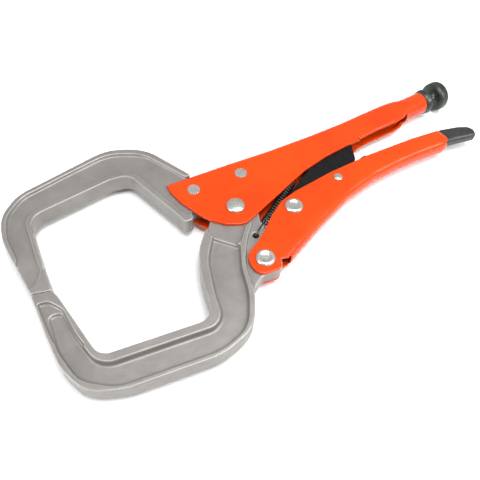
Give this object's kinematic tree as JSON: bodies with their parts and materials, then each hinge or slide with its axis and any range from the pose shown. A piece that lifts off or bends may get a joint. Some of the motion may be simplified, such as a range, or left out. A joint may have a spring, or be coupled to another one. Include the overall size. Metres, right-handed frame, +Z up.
{
  "type": "locking pliers",
  "caption": "Locking pliers with deep C-shaped jaws, orange folded handles, toggle link, release lever and a knurled adjusting screw.",
  "frame": {"origin": "bottom centre of the bounding box, with the tool lying flat on its side and the jaws closed", "axes": "+X from the jaws towards the handles' ends, +Y from the lower jaw towards the upper jaw, +Z up, square to the tool's flat side"},
  "size_m": [0.3556, 0.1734, 0.0232],
  "materials": {
    "orange_paint": "glossy orange coat over folded steel sheet",
    "cast_aluminium": "satin cast metal with brighter worn ridges",
    "zinc_plate": "bright zinc plating",
    "black_link": "black oxide, satin",
    "black_lever": "dark grey oxide, satin",
    "plain_steel": "plain steel",
    "black_screw": "dark grey-green oxide, satin",
    "spring_wire": "black oiled spring wire"
  },
  "bodies": {
    "frame": {"upper_body": "orange_paint", "upper_jaw": "cast_aluminium", "jaw_rivet_front": "zinc_plate", "jaw_rivet_rear": "zinc_plate", "main_pivot_rivet": "zinc_plate", "screw_bush": "plain_steel", "spring_anchor_pin": "plain_steel", "tension_spring": "spring_wire"},
    "jaw": {"lower_jaw": "cast_aluminium"},
    "handle": {"lower_handle": "orange_paint", "jaw_handle_rivet": "zinc_plate", "link_rivet": "zinc_plate", "release_lever_rivet": "zinc_plate"},
    "link": {"toggle_link": "black_link"},
    "lever": {"release_lever": "black_lever"},
    "screw": {"adjusting_screw": "black_screw", "adjusting_knob": "black_screw"}
  },
  "joints": [
    {"name": "jaw_hinge", "type": "hinge", "parent": "frame", "child": "jaw", "pos_m": [-0.03271, 0.0085, 0.0116], "axis": [0, 0, 1], "range_deg": [0, 22], "deforming": ["tension_spring"]},
    {"name": "handle_hinge", "type": "hinge", "parent": "jaw", "child": "handle", "pos_m": [-0.03101, -0.0368, 0.0116], "axis": [0, 0, 1], "range_deg": [-57.2, 0]},
    {"name": "link_hinge", "type": "hinge", "parent": "handle", "child": "link", "pos_m": [0.00389, -0.0048, 0.0116], "axis": [0, 0, 1], "range_deg": [0, 61.6]},
    {"name": "lever_hinge", "type": "hinge", "parent": "handle", "child": "lever", "pos_m": [0.04499, 0.0088, 0.0116], "axis": [0, 0, 1], "range_deg": [0, 5]},
    {"name": "knob_turn", "type": "hinge", "parent": "frame", "child": "screw", "pos_m": [0.16729, 0.0678, 0.0116], "axis": [0.9806, 0.1961, 0], "range_deg": [0, 2400]}
  ],
  "couplings": [
    {"joint": "handle_hinge", "follows": "jaw_hinge", "ratio": -2.6},
    {"joint": "link_hinge", "follows": "jaw_hinge", "ratio": 2.8}
  ]
}
